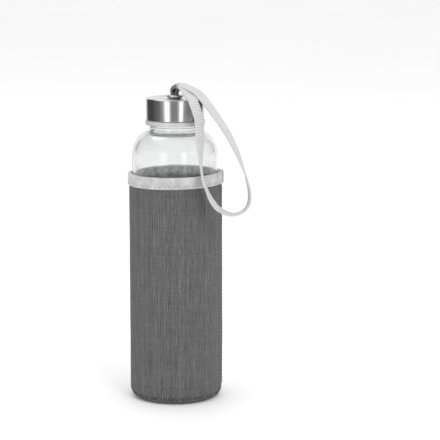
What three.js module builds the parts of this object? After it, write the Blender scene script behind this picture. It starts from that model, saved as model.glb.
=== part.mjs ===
// Glass water bottle in a fabric sleeve, with a steel screw cap and a webbing carry loop.
// Millimetres, +Z up along the bottle's axis. The origin is the centre of the sleeve's base,
// and +X points to the side on which the carry loop hangs.

import * as THREE from 'three';

// ---- Driving dimensions ----

const SEGMENTS = 48;
const ARC_STEPS = 5;
const GAP = 0.3; // clearance between two pieces that touch on the real object

const SLEEVE_RADIUS = 33.2;
const SLEEVE_THICKNESS = 1.2;
const SLEEVE_CORNER = 7;
const SLEEVE_TOP = 163.9;
const LINING_THICKNESS = 0.5;

const BINDING_RADIUS = 34.1;
const BINDING_BOTTOM = 156.7;
const BINDING_TOP = 165;
const BINDING_THICKNESS = 0.7;
const SEAM_AZIMUTH = 42; // degrees, where the sleeve's vertical seam and the binding's ends meet

const GLASS_RADIUS = 31;
const GLASS_WALL = 2.2;
const GLASS_BOTTOM = 2.6;
const GLASS_CORNER = 6;
const SHOULDER_START = 174;
const SHOULDER_END = 194;
const BEAD_RADIUS = 18.9;
const NECK_RADIUS = 18.1;
const NECK_BORE = 15;
const FINISH_RADIUS = 17.4; // the neck's wall between the threads
const FINISH_BOTTOM = 199.6;
const MOUTH_TOP = 209.5;

const THREAD_PITCH = 4.2;
const THREAD_TURNS = 1.3;
const THREAD_BASE = 1.9; // a ridge's width where it leaves its wall
const THREAD_CREST = 0.9;
const THREAD_DEPTH = 1;
const THREAD_STEPS = 48; // steps in one turn
const THREAD_START = 202; // height at which the neck's ridge starts
const THREAD_RUNOUT = 0.08; // share of a ridge's length over which each end fades out

const CAP_RADIUS = 20.8;
const CAP_TOP = 218;
const CAP_SHEET = 0.5;
const CAP_EDGE = 1.2; // radius of the cap's rounded top edge
const LIP_RADIUS = 21.5;
const LIP_BOTTOM = 199.2;
const LIP_HEIGHT = 3.1;
const LINER_RADIUS = 20;
const LINER_BORE = 19.1;
const LINER_CEILING = 211.6;
const LINER_PLATE = 1.2;

const EYELET_HOLE = 3.5;
const EYELET_TUBE = 4.1;
const EYELET_FLANGE = 5.9;
const EYELET_TOP = 220;
const EYELET_EDGE = 1.6; // thickness of the rolled edge on top
const EYELET_CURL = 5.6;
const EYELET_BOTTOM = 215.4;

const STRAP_WIDTH = 10;
const STRAP_THICKNESS = 1.5;
const KNOB_CENTRE = 223.6; // height of the axis that the carry loop swings about
const KNOB_RADIUS = 3.5;

// The webbing's route at rest: x, y, z, and the direction in degrees round +Z in which its
// width points. It rises out of the eyelet, hangs as one loop and goes back into the eyelet.
// The first three and last three points are inside the folded root.
const STRAP_ROUTE = [
  [0.8, 0, 213.3, -90], [0.9, 0, 219.6, -90], [1.9, -0.1, 223, -90], [4.1, -0.2, 224.9, -90],
  [7.3, -0.3, 225.1, -90], [11.6, -0.8, 224.0, -90], [16.6, -2.4, 221.7, -90], [21.7, -4.4, 219.0, -90],
  [25, -4.9, 214.0, -90], [27.5, -4.8, 208.4, -88], [29.1, -4.9, 202.6, -85], [30.9, -6.4, 193.5, -79],
  [33.7, -8.9, 181.6, -62], [36.3, -10.8, 172.8, -49], [39.4, -12, 164.2, -47], [42.2, -11, 156.9, -50],
  [44.7, -9.2, 150.2, -58], [48.6, -5.8, 143.8, -62], [54.8, 0.4, 139.9, -56], [60.5, 6, 141.9, -48],
  [63.3, 9.4, 147.8, -45], [62.9, 10.3, 156.6, -48], [60.3, 9.6, 166, -55], [56.3, 8.6, 176.4, -65],
  [51.3, 7.8, 186, -72], [44.8, 6.7, 196.2, -78], [36.8, 5.4, 205.9, -84], [28.3, 4.7, 214.2, -88],
  [20.5, 4.6, 220.3, -90], [13, 4.2, 224.3, -90], [7.6, 2.8, 226.3, -90], [3.6, 1.3, 226.7, -90],
  [-0.7, 0.2, 224.6, -90], [-0.9, 0, 219.6, -90], [-0.8, 0, 213.3, -90],
];
const ROOT_POINTS = 3;
const STRAP_STEPS = 76;

// ---- Materials ----

function material(color, roughness, metalness = 0) {
  return new THREE.MeshStandardMaterial({ color, roughness, metalness });
}

function glass() {
  const clear = material(0xf2f4f4, 0.05);
  clear.transparent = true;
  clear.opacity = 0.35;
  return clear;
}

const FABRIC = 0x68686a;
const LINING = 0x8c8c8e;
const TAPE = 0xc6c6c8;
const WEBBING = 0xcfcfd0;
const STEEL = 0xb9bbbd;
const PLASTIC = 0xcbccce;

// ---- Geometry helpers ----

function radians(degrees) {
  return THREE.MathUtils.degToRad(degrees);
}

function named(name, geometry, look) {
  const mesh = new THREE.Mesh(geometry, look);
  mesh.name = name;
  return mesh;
}

// Points of a circular arc in a profile, from one angle to another (degrees from +r to +z).
function arc(r, z, radius, from, to, steps = ARC_STEPS) {
  const points = [];
  for (let i = 0; i <= steps; i += 1) {
    const angle = radians(from + ((to - from) * i) / steps);
    points.push([r + radius * Math.cos(angle), z + radius * Math.sin(angle)]);
  }
  return points;
}

// A solid of revolution about +Z. The profile lists [r, z] with the material on its left.
function turned(profile) {
  const points = profile.map(([r, z]) => new THREE.Vector2(r, z));
  const onAxis = profile[0][0] === 0 && profile.at(-1)[0] === 0;
  if (!onAxis) points.push(points[0].clone());
  const geometry = new THREE.LatheGeometry(points, SEGMENTS);
  geometry.rotateX(Math.PI / 2);
  return geometry;
}

function tube(inner, outer, bottom, top) {
  return turned([[inner, bottom], [outer, bottom], [outer, top], [inner, top]]);
}

// A patch of a tube's wall, centred on an azimuth and spanning an angle (degrees).
function wallPatch(inner, outer, azimuth, span, bottom, top) {
  const from = radians(azimuth - span / 2);
  const to = radians(azimuth + span / 2);
  const outline = new THREE.Shape();
  outline.absarc(0, 0, outer, from, to, false);
  outline.absarc(0, 0, inner, to, from, true);
  const geometry = new THREE.ExtrudeGeometry(outline, {
    depth: top - bottom, bevelEnabled: false, curveSegments: ARC_STEPS,
  });
  geometry.translate(0, 0, bottom);
  return geometry;
}

// A closed solid through sections that all have the same number of points.
function lofted(sections) {
  const count = sections[0].length;
  const positions = sections.flat().flatMap((point) => [point.x, point.y, point.z]);
  const faces = [];
  for (let s = 0; s < sections.length - 1; s += 1) {
    for (let i = 0; i < count; i += 1) {
      const a = s * count + i;
      const b = s * count + ((i + 1) % count);
      faces.push(a, b, b + count, a, b + count, a + count);
    }
  }
  const last = (sections.length - 1) * count;
  for (let i = 1; i < count - 1; i += 1) {
    faces.push(0, i + 1, i, last, last + i, last + i + 1);
  }
  const geometry = new THREE.BufferGeometry();
  geometry.setAttribute('position', new THREE.Float32BufferAttribute(positions, 3));
  geometry.setIndex(faces);
  geometry.computeVertexNormals();
  return geometry;
}

// A right-handed screw ridge. It stands out of its wall by depth, inwards if depth is negative,
// and its ends fade down to a low step.
function screwRidge(wallRadius, depth, start) {
  const steps = Math.round(THREAD_TURNS * THREAD_STEPS);
  const sections = [];
  for (let i = 0; i <= steps; i += 1) {
    const share = i / steps;
    const fade = Math.min(1, share / THREAD_RUNOUT, (1 - share) / THREAD_RUNOUT);
    const height = depth * (0.2 + 0.8 * fade);
    const angle = share * THREAD_TURNS * Math.PI * 2;
    const centre = start + share * THREAD_TURNS * THREAD_PITCH;
    const corner = (radius, z) => new THREE.Vector3(
      radius * Math.cos(angle), radius * Math.sin(angle), centre + z,
    );
    const section = [
      corner(wallRadius, THREAD_BASE / 2),
      corner(wallRadius + height, THREAD_CREST / 2),
      corner(wallRadius + height, -THREAD_CREST / 2),
      corner(wallRadius, -THREAD_BASE / 2),
    ];
    sections.push(depth > 0 ? section : section.reverse());
  }
  return lofted(sections);
}

// ---- Fabric sleeve ----

function sleeveWall() {
  const inner = SLEEVE_RADIUS - SLEEVE_THICKNESS;
  const centre = SLEEVE_RADIUS - SLEEVE_CORNER;
  return turned([
    ...arc(centre, SLEEVE_CORNER, SLEEVE_CORNER, -90, 0),
    [SLEEVE_RADIUS, SLEEVE_TOP],
    [inner, SLEEVE_TOP],
    ...arc(centre, SLEEVE_CORNER, SLEEVE_CORNER - SLEEVE_THICKNESS, 0, -90),
  ]);
}

function sleeveLining() {
  const inner = GLASS_RADIUS + GAP;
  return tube(inner, inner + LINING_THICKNESS, GLASS_BOTTOM + GLASS_CORNER, BINDING_BOTTOM);
}

function sleeveBase() {
  const radius = SLEEVE_RADIUS - SLEEVE_CORNER - GAP;
  return turned([[0, 0], [radius, 0], [radius, SLEEVE_THICKNESS], [0, SLEEVE_THICKNESS]]);
}

// The overlocked join between the wall and the base, on the inside.
function sleeveBaseSeam() {
  const middle = SLEEVE_RADIUS - SLEEVE_CORNER;
  const width = 2.4;
  const bottom = SLEEVE_THICKNESS + 0.2;
  return tube(middle - width / 2, middle + width / 2, bottom, GLASS_BOTTOM - 0.4);
}

// Tape folded over the sleeve's rim, down its outside and its inside.
function sleeveBinding() {
  const outside = SLEEVE_RADIUS + 0.2;
  const inside = GLASS_RADIUS + GAP;
  const insideFace = inside + LINING_THICKNESS;
  const under = BINDING_TOP - BINDING_THICKNESS;
  const innerEnd = BINDING_BOTTOM + GAP;
  return turned([
    [outside, BINDING_BOTTOM], [BINDING_RADIUS, BINDING_BOTTOM],
    ...arc(BINDING_RADIUS - 1, BINDING_TOP - 1, 1, 0, 90, 3),
    ...arc(inside + 1, BINDING_TOP - 1, 1, 90, 180, 3),
    [inside, innerEnd], [insideFace, innerEnd], [insideFace, under], [outside, under],
  ]);
}

function bindingStitch() {
  const thread = 0.3;
  const inner = BINDING_RADIUS + 0.05;
  const height = BINDING_BOTTOM + 1.8;
  return tube(inner, inner + thread, height - thread / 2, height + thread / 2);
}

// The binding's loose end, lapped over its start.
function bindingJoin() {
  const inner = BINDING_RADIUS + 0.4;
  return wallPatch(inner, inner + 0.5, SEAM_AZIMUTH, 18, BINDING_BOTTOM, BINDING_TOP);
}

function sideSeam() {
  const inner = SLEEVE_RADIUS + 0.15;
  return wallPatch(inner, inner + 0.4, SEAM_AZIMUTH, 7, SLEEVE_CORNER + 1.5, BINDING_BOTTOM - GAP);
}

function buildSleeve() {
  const fabric = () => material(FABRIC, 0.95);
  const group = new THREE.Group();
  group.add(
    named('sleeve_wall', sleeveWall(), fabric()),
    named('sleeve_base', sleeveBase(), fabric()),
    named('side_seam', sideSeam(), fabric()),
    named('sleeve_lining', sleeveLining(), material(LINING, 0.9)),
    named('sleeve_base_seam', sleeveBaseSeam(), material(LINING, 0.9)),
    named('sleeve_binding', sleeveBinding(), material(TAPE, 0.85)),
    named('binding_stitch', bindingStitch(), material(TAPE, 0.8)),
    named('binding_join', bindingJoin(), material(TAPE, 0.85)),
  );
  return group;
}

// ---- Glass bottle ----

// Quarter of an ellipse between the body's wall and the neck's.
function shoulder(wide, narrow, low, high, steps) {
  const points = [];
  for (let i = 0; i <= steps; i += 1) {
    const angle = (i / steps) * Math.PI * 0.5;
    points.push([narrow + (wide - narrow) * Math.cos(angle), low + (high - low) * Math.sin(angle)]);
  }
  return points;
}

// The body, up to the foot of the neck.
function glassBottle() {
  const inner = GLASS_RADIUS - GLASS_WALL;
  const foot = GLASS_RADIUS - GLASS_CORNER;
  const floorTop = GLASS_BOTTOM + 5;
  return turned([
    [0, GLASS_BOTTOM + 1.6], [foot - 6, GLASS_BOTTOM + 1], [foot - 1.5, GLASS_BOTTOM],
    ...arc(foot, GLASS_BOTTOM + GLASS_CORNER, GLASS_CORNER, -90, 0),
    ...shoulder(GLASS_RADIUS, NECK_RADIUS, SHOULDER_START, SHOULDER_END, 7),
    ...shoulder(inner, NECK_BORE, SHOULDER_START - 3, SHOULDER_END, 7).reverse(),
    ...arc(inner - 4, floorTop + 4, 4, 0, -90, 4),
    [0, floorTop + 1],
  ]);
}

// The neck, with a bead round its foot and a plain wall for the screw ridge.
function glassNeck() {
  const bottom = SHOULDER_END + GAP;
  return turned([
    [NECK_BORE, bottom], [NECK_RADIUS, bottom],
    [BEAD_RADIUS, bottom + 0.5], [BEAD_RADIUS, bottom + 2.5],
    [NECK_RADIUS, bottom + 3.2], [NECK_RADIUS, FINISH_BOTTOM - 0.8], [FINISH_RADIUS, FINISH_BOTTOM],
    [FINISH_RADIUS, MOUTH_TOP - 0.7], [FINISH_RADIUS - 0.5, MOUTH_TOP],
    [NECK_BORE + 0.5, MOUTH_TOP], [NECK_BORE, MOUTH_TOP - 0.6],
  ]);
}

function buildBottle() {
  const group = new THREE.Group();
  group.add(
    named('glass_bottle', glassBottle(), glass()),
    named('glass_neck', glassNeck(), glass()),
    named('neck_thread', screwRidge(FINISH_RADIUS + 0.2, THREAD_DEPTH, THREAD_START), glass()),
  );
  return group;
}

// ---- Cap ----

function capShell() {
  const bottom = LIP_BOTTOM + LIP_HEIGHT + GAP;
  const inner = CAP_RADIUS - CAP_SHEET;
  const hole = EYELET_TUBE + GAP;
  return turned([
    [CAP_RADIUS, bottom],
    ...arc(CAP_RADIUS - CAP_EDGE, CAP_TOP - CAP_EDGE, CAP_EDGE, 0, 90, 4),
    [hole, CAP_TOP], [hole, CAP_TOP - CAP_SHEET],
    ...arc(CAP_RADIUS - CAP_EDGE, CAP_TOP - CAP_EDGE, CAP_EDGE - CAP_SHEET, 90, 0, 3),
    [inner, bottom],
  ]);
}

function capLipRing() {
  const top = LIP_BOTTOM + LIP_HEIGHT;
  const inner = LINER_RADIUS + GAP;
  return turned([
    [inner, LIP_BOTTOM],
    ...arc(LIP_RADIUS - 0.5, LIP_BOTTOM + 0.5, 0.5, -90, 0, 3),
    ...arc(LIP_RADIUS - 0.5, top - 0.5, 0.5, 0, 90, 3),
    [inner, top],
  ]);
}

function capLiner() {
  const top = LINER_CEILING + LINER_PLATE;
  return turned([
    [0, LINER_CEILING], [LINER_BORE, LINER_CEILING], [LINER_BORE, LIP_BOTTOM + 0.5],
    [LINER_RADIUS, LIP_BOTTOM + 0.5], [LINER_RADIUS, top], [0, top],
  ]);
}

function linerThread() {
  const start = THREAD_START - THREAD_PITCH / 2;
  return screwRidge(LINER_BORE - 0.2, -THREAD_DEPTH, start);
}

function capGasket() {
  return tube(NECK_BORE - 0.5, LINER_BORE - 0.4, MOUTH_TOP + GAP, LINER_CEILING - GAP);
}

function buildCap() {
  const group = new THREE.Group();
  group.add(
    named('cap_gasket', capGasket(), material(0xe6e6e4, 0.6)),
    named('cap_shell', capShell(), material(STEEL, 0.28, 1)),
    named('cap_lip_ring', capLipRing(), material(PLASTIC, 0.35)),
    named('cap_liner', capLiner(), material(PLASTIC, 0.4)),
    named('liner_thread', linerThread(), material(PLASTIC, 0.4)),
  );
  return group;
}

// ---- Swivelling eyelet ----

function eyeletRivet() {
  const curl = 0.8;
  const under = EYELET_TOP - EYELET_EDGE;
  return turned([
    [EYELET_HOLE, EYELET_BOTTOM], [EYELET_CURL, EYELET_BOTTOM],
    [EYELET_CURL, EYELET_BOTTOM + curl], [EYELET_TUBE, EYELET_BOTTOM + curl],
    [EYELET_TUBE, under],
    ...arc(EYELET_FLANGE - EYELET_EDGE / 2, under + EYELET_EDGE / 2, EYELET_EDGE / 2, -90, 90, 6),
    [EYELET_HOLE + 0.4, EYELET_TOP], [EYELET_HOLE, EYELET_TOP - 0.4],
  ]);
}

function backWasher() {
  const bottom = EYELET_BOTTOM + 1.1;
  return tube(EYELET_TUBE + 0.2, 7.2, bottom, bottom + 0.6);
}

function strapCrimp() {
  const top = EYELET_BOTTOM - GAP;
  return tube(EYELET_HOLE - 0.1, 5.8, top - 1.9, top);
}

// ---- Webbing ----

// Both ends of the webbing, folded together, up to the round top that the loop swings about.
function strapRoot() {
  const half = 1.7;
  const depth = 5.2;
  const bottom = STRAP_ROUTE[0][2];
  const shoulderAngle = Math.acos(half / KNOB_RADIUS);
  const outline = new THREE.Shape();
  outline.moveTo(-half, bottom);
  outline.lineTo(half, bottom);
  outline.absarc(0, KNOB_CENTRE, KNOB_RADIUS, -shoulderAngle, Math.PI + shoulderAngle, false);
  outline.lineTo(-half, bottom);
  const geometry = new THREE.ExtrudeGeometry(outline, { depth, bevelEnabled: false, curveSegments: 14 });
  geometry.rotateX(Math.PI / 2);
  geometry.translate(0, depth / 2, 0);
  return geometry;
}

function strapSection(centre, tangent, azimuth) {
  const angle = radians(azimuth);
  const across = new THREE.Vector3(Math.cos(angle), Math.sin(angle), 0);
  across.addScaledVector(tangent, -across.dot(tangent)).normalize();
  const face = new THREE.Vector3().crossVectors(tangent, across);
  const w = STRAP_WIDTH / 2;
  const t = STRAP_THICKNESS / 2;
  const edge = t * 0.5;
  const outline = [
    [-w, -edge], [-w + edge, -t], [w - edge, -t], [w, -edge],
    [w, edge], [w - edge, t], [-w + edge, t], [-w, edge],
  ];
  return outline.map(([u, v]) => centre.clone().addScaledVector(across, u).addScaledVector(face, v));
}

function strapLoop() {
  const route = STRAP_ROUTE.slice(ROOT_POINTS, -ROOT_POINTS);
  const path = new THREE.CatmullRomCurve3(route.map(([x, y, z]) => new THREE.Vector3(x, y, z)));
  const sections = [];
  for (let i = 0; i <= STRAP_STEPS; i += 1) {
    const share = i / STRAP_STEPS;
    const place = share * (route.length - 1);
    const before = Math.min(Math.floor(place), route.length - 2);
    const azimuth = THREE.MathUtils.lerp(route[before][3], route[before + 1][3], place - before);
    sections.push(strapSection(path.getPoint(share), path.getTangent(share), azimuth));
  }
  return lofted(sections);
}

function buildCarryLoop() {
  const group = new THREE.Group();
  group.add(
    named('eyelet_rivet', eyeletRivet(), material(STEEL, 0.25, 1)),
    named('back_washer', backWasher(), material(STEEL, 0.4, 1)),
    named('strap_crimp', strapCrimp(), material(STEEL, 0.4, 1)),
    named('strap_root', strapRoot(), material(WEBBING, 0.9)),
    named('strap_loop', strapLoop(), material(WEBBING, 0.9)),
  );
  return group;
}

const group = new THREE.Group();
group.add(buildSleeve(), buildBottle(), buildCap(), buildCarryLoop());

export default group;
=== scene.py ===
"""Studio scene of a glass water bottle in a fabric sleeve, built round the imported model.

Everything is in metres in the model's own frame: +Z up along the bottle's axis, the origin at the
centre of the base, and +X towards the side on which the carry loop hangs.
"""

import math

import bpy
import numpy as np
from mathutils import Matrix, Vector, noise


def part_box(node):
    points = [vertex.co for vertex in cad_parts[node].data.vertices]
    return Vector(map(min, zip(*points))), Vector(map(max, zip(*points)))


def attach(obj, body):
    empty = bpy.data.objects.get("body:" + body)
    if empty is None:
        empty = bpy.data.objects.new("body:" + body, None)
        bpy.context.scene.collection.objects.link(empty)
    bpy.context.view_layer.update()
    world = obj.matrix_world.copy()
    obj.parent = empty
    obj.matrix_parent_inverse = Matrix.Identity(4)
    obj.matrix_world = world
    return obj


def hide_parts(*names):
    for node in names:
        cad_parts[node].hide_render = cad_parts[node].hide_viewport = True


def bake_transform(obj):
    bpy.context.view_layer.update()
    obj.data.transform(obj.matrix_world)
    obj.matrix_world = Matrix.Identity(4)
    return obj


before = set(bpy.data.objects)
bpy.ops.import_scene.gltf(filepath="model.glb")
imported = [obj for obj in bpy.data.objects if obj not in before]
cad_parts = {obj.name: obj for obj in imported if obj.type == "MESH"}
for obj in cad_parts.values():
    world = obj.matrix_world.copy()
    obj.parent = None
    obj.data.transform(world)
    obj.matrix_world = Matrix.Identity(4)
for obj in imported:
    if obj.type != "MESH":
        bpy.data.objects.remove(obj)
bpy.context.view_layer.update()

MM = 0.001
TAU = 2 * math.pi


# ---- Sizes, from the frame where it holds them ----


def outer_radius(node):
    """Radius of a round CAD node."""
    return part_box(node)[1][0]


def bottom_of(node):
    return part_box(node)[0][2]


def top_of(node):
    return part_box(node)[1][2]


SLEEVE_R = outer_radius("sleeve_wall")
SLEEVE_TOP = top_of("sleeve_wall")
SLEEVE_THICK = 1.2 * MM
SLEEVE_CORNER = 7 * MM
BINDING_R = outer_radius("sleeve_binding")
BINDING_LOW = bottom_of("sleeve_binding")
BINDING_TOP = top_of("sleeve_binding")
SEAM_AZIMUTH = math.radians(42)
STITCHES = 62
STITCH_HEIGHT = BINDING_LOW + 1.8 * MM
RIM_SLOPE = 0.017
THREAD_R = 0.17 * MM

# The neck is plain between the shoulder's end and FINISH_LOW, where the part in the cap starts.
GLASS_R = outer_radius("glass_bottle")
GLASS_LOW = bottom_of("glass_bottle")
GLASS_WALL = 2.2 * MM
MOUTH_TOP = top_of("glass_neck")
SHOULDER_START = 174 * MM
SHOULDER_END = 194.6 * MM
NECK_R = 18.1 * MM
NECK_BORE = NECK_R - 2 * MM
CREASE_WALL = 2 * MM
FINISH_R = 17.4 * MM
FINISH_LOW = 199.6 * MM

THREAD_PITCH = 4.2 * MM
THREAD_TURNS = 1.3
THREAD_START = 202 * MM
THREAD_DEPTH = 1.15 * MM

CAP_R = outer_radius("cap_shell")
CAP_TOP = top_of("cap_shell")
CAP_LOW = bottom_of("cap_shell")
LIP_R = outer_radius("cap_lip_ring")
LIP_LOW = bottom_of("cap_lip_ring")
LIP_TOP = top_of("cap_lip_ring")
LINER_R = outer_radius("cap_liner")
LINER_LOW = bottom_of("cap_liner")
LINER_TOP = top_of("cap_liner")
LINER_BORE = 19.1 * MM
SEAL_BORE = 14.5 * MM

EYELET_R = outer_radius("eyelet_rivet")
EYELET_TOP = top_of("eyelet_rivet")
EYELET_LOW = bottom_of("eyelet_rivet")
EYELET_HOLE = 3.5 * MM
EYELET_TUBE = 4.1 * MM

STRAP_WIDTH = 10 * MM
STRAP_THICK = 1.35 * MM
RIB_PITCH = 1.9 * MM


# ---- Camera ----


def make_camera():
    """A long lens, a little above the bottle, with the bottle left of the middle."""
    distance, height = 1268.4 * MM, 352.5 * MM
    around = math.radians(-45)
    heading, pitch = math.radians(133.548), math.radians(-9.978)
    data = bpy.data.cameras.new("camera")
    data.lens = 145.9
    data.sensor_width = 36
    data.clip_end = 50
    camera = bpy.data.objects.new("camera", data)
    bpy.context.collection.objects.link(camera)
    camera.location = (distance * math.cos(around), distance * math.sin(around), height)
    aim = Vector((
        math.cos(heading) * math.cos(pitch), math.sin(heading) * math.cos(pitch), math.sin(pitch),
    ))
    camera.rotation_euler = aim.to_track_quat("-Z", "Y").to_euler()
    bpy.context.scene.camera = camera


make_camera()


# ---- Webbing route ----

# x, y, z in millimetres, and the direction in degrees round +Z in which the webbing's width points.
STRAP_ROUTE = [
    (0.8, 0, 213.3, -90), (0.9, 0, 219.6, -90), (1.9, -0.1, 223, -90), (4.1, -0.2, 224.9, -90),
    (7.3, -0.3, 225.1, -90), (11.6, -0.8, 224.0, -90), (16.6, -2.4, 221.7, -90),
    (21.7, -4.4, 219.0, -90), (25, -4.9, 214.0, -90), (27.5, -4.8, 208.4, -88),
    (29.1, -4.9, 202.6, -85), (30.9, -6.4, 193.5, -79), (33.7, -8.9, 181.6, -62),
    (36.3, -10.8, 172.8, -49), (39.4, -12, 164.2, -47), (42.2, -11, 156.9, -50),
    (44.7, -9.2, 150.2, -58), (48.6, -5.8, 143.8, -63), (54.8, 0.4, 139.9, -58),
    (60.5, 6, 141.9, -47), (63.3, 9.4, 147.8, -40), (62.9, 10.3, 156.6, -38),
    (60.3, 9.6, 166, -43), (56.3, 8.6, 176.4, -54), (51.3, 7.8, 186, -63),
    (44.8, 6.7, 196.2, -70), (36.8, 5.4, 205.9, -75), (28.3, 4.7, 214.2, -81),
    (20.5, 4.6, 220.3, -87), (13, 4.2, 224.3, -90), (7.6, 2.8, 226.3, -90),
    (3.6, 1.3, 226.7, -90), (-0.7, 0.2, 224.6, -90), (-0.9, 0, 219.6, -90),
    (-0.8, 0, 213.3, -90),
]


# ---- Mesh helpers ----


def add_mesh(name, points, faces, material, body, uvs=None):
    """A mesh piece in the model's frame, which rides on a body unless that is None.

    uvs has one (u, v) for each face corner.
    """
    mesh = bpy.data.meshes.new(name)
    mesh.from_pydata([tuple(p) for p in points], [], faces)
    if uvs is not None:
        layer = mesh.uv_layers.new(name="UVMap")
        layer.data.foreach_set("uv", [value for uv in uvs for value in uv])
    mesh.materials.append(material)
    mesh.update()
    mesh.shade_smooth()
    piece = bpy.data.objects.new(name, mesh)
    bpy.context.collection.objects.link(piece)
    if body:
        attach(piece, body)
    return piece


def arc(r, z, radius, start, end, steps):
    """Points of a profile's arc, with angles in degrees from +r towards +z."""
    angles = np.radians(np.linspace(start, end, steps + 1))
    return [(r + radius * math.cos(a), z + radius * math.sin(a)) for a in angles]


def polar(r, angle, z=0.0):
    """A point so far from the axis, in a direction round it."""
    return Vector((r * math.cos(angle), r * math.sin(angle), z))


def turned(name, profile, material, body, segments=128, shape=None):
    """A surface of revolution about +Z from (r, z) points with the material on their left.

    shape(angle, r, z, row) may move a point; it gives the new (r, z). The profile closes on itself,
    unless it starts and ends on the axis. u runs once round, v is the profile's length.
    """
    rows = len(profile)
    steps = [math.dist(p, q) for p, q in zip(profile, profile[1:] + profile[:1])]
    lengths = np.concatenate([[0], np.cumsum(steps)])
    points, index = [], []
    for row, (r, z) in enumerate(profile):
        if r == 0:
            index.append([len(points)] * segments)
            points.append((0, 0, z))
            continue
        index.append(list(range(len(points), len(points) + segments)))
        for step in range(segments):
            angle = TAU * step / segments
            rr, zz = shape(angle, r, z, row) if shape else (r, z)
            points.append(polar(rr, angle, zz))
    faces, uvs = [], []
    on_axis = profile[0][0] == 0 and profile[-1][0] == 0
    for row in range(rows - 1 if on_axis else rows):
        after = (row + 1) % rows
        low, high = lengths[row], lengths[row + 1]
        for step in range(segments):
            turn = (step + 1) % segments
            u0, u1 = step / segments, (step + 1) / segments
            corners = [
                (index[row][step], (u0, low)), (index[row][turn], (u1, low)),
                (index[after][turn], (u1, high)), (index[after][step], (u0, high)),
            ]
            face = []
            for corner in corners:
                if corner[0] not in [c[0] for c in face]:
                    face.append(corner)
            if len(face) > 2:
                faces.append([c[0] for c in face])
                uvs.extend(c[1] for c in face)
    return add_mesh(name, points, faces, material, body, uvs)


def lofted(sections):
    """Points, faces and uvs of a closed skin over rings: u runs round, v counts the rings."""
    count = len(sections[0])
    points = [p for ring in sections for p in ring]
    faces, uvs = [], []
    for s in range(len(sections) - 1):
        for i in range(count):
            j = (i + 1) % count
            a, b = s * count + i, s * count + j
            u0, u1 = i / count, (i + 1) / count
            faces.append([a, b, b + count, a + count])
            uvs.extend([(u0, s), (u1, s), (u1, s + 1), (u0, s + 1)])
    last = (len(sections) - 1) * count
    faces.append(list(range(count))[::-1])
    faces.append(list(range(last, last + count)))
    uvs.extend([(0, 0)] * 2 * count)
    return points, faces, uvs


def smooth_noise(x, y, z, seed=0.0):
    """Noise from about -1 to 1. It has no random state: a seed only shifts the place."""
    return noise.noise(Vector((x + seed, y - seed, z)))


def ring_noise(angle, scale, z, seed=0.0):
    """Smooth noise that joins up once round the axis."""
    return smooth_noise(scale * math.cos(angle), scale * math.sin(angle), z, seed)


# ---- Node helpers ----


class Nodes:
    """A short way to write a node tree. Values are sockets or plain numbers."""

    def __init__(self, tree):
        self.tree = tree

    def add(self, kind, inputs=None, **settings):
        node = self.tree.nodes.new(kind)
        for key, value in settings.items():
            setattr(node, key, value)
        for key, value in (inputs or {}).items():
            self.set(node.inputs[key], value)
        return node

    def set(self, socket, value):
        if isinstance(value, bpy.types.NodeSocket):
            self.tree.links.new(value, socket)
        else:
            socket.default_value = value

    def math(self, operation, a, b=0.0):
        return self.add("ShaderNodeMath", {0: a, 1: b}, operation=operation).outputs[0]

    def times(self, a, b):
        return self.math("MULTIPLY", a, b)

    def plus(self, a, b):
        return self.math("ADD", a, b)

    def minus(self, a, b):
        return self.math("SUBTRACT", a, b)

    def blend(self, *parts):
        """The sum of (value, share) pairs."""
        total, *rest = [self.times(value, share) for value, share in parts]
        for part in rest:
            total = self.plus(total, part)
        return total

    def ridges(self, value, count=1):
        """The height of round ridges, so many of them to each whole number."""
        return self.math("ABSOLUTE", self.math("SINE", self.times(value, count * math.pi)))

    def ramp(self, factor, stops):
        node = self.add("ShaderNodeValToRGB", {0: factor})
        elements = node.color_ramp.elements
        while len(elements) < len(stops):
            elements.new(0.5)
        for element, (place, value) in zip(elements, stops):
            element.position = place
            element.color = (value, value, value, 1)
        return node.outputs[0]

    def map_range(self, value, low, high, new_low=0.0, new_high=1.0):
        return self.add("ShaderNodeMapRange", {
            "Value": value, "From Min": low, "From Max": high,
            "To Min": new_low, "To Max": new_high,
        }).outputs[0]

    def mix(self, factor, a, b, blend_type="MIX"):
        node = self.add("ShaderNodeMix", {0: factor}, data_type="RGBA", blend_type=blend_type)
        for index, value in ((6, a), (7, b)):
            if not isinstance(value, bpy.types.NodeSocket):
                value = (value, value, value, 1)
            self.set(node.inputs[index], value)
        return node.outputs[2]

    def uv(self):
        node = self.add("ShaderNodeTexCoord")
        split = self.add("ShaderNodeSeparateXYZ", {0: node.outputs["UV"]})
        return split.outputs[0], split.outputs[1]

    def object_place(self):
        return self.add("ShaderNodeTexCoord").outputs["Object"]

    def vector(self, x=0.0, y=0.0):
        return self.add("ShaderNodeCombineXYZ", {0: x, 1: y}).outputs[0]

    def noise(self, place, scale, detail=2.0, roughness=0.5):
        node = self.add("ShaderNodeTexNoise", {
            "Vector": place, "Scale": scale, "Detail": detail, "Roughness": roughness,
        })
        return node.outputs[0]

    def random(self, place):
        node = self.add("ShaderNodeTexWhiteNoise", {"Vector": place}, noise_dimensions="3D")
        return node.outputs["Value"]

    def bump(self, height, distance, strength):
        inputs = {"Height": height, "Distance": distance, "Strength": strength}
        return self.add("ShaderNodeBump", inputs).outputs[0]


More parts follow.
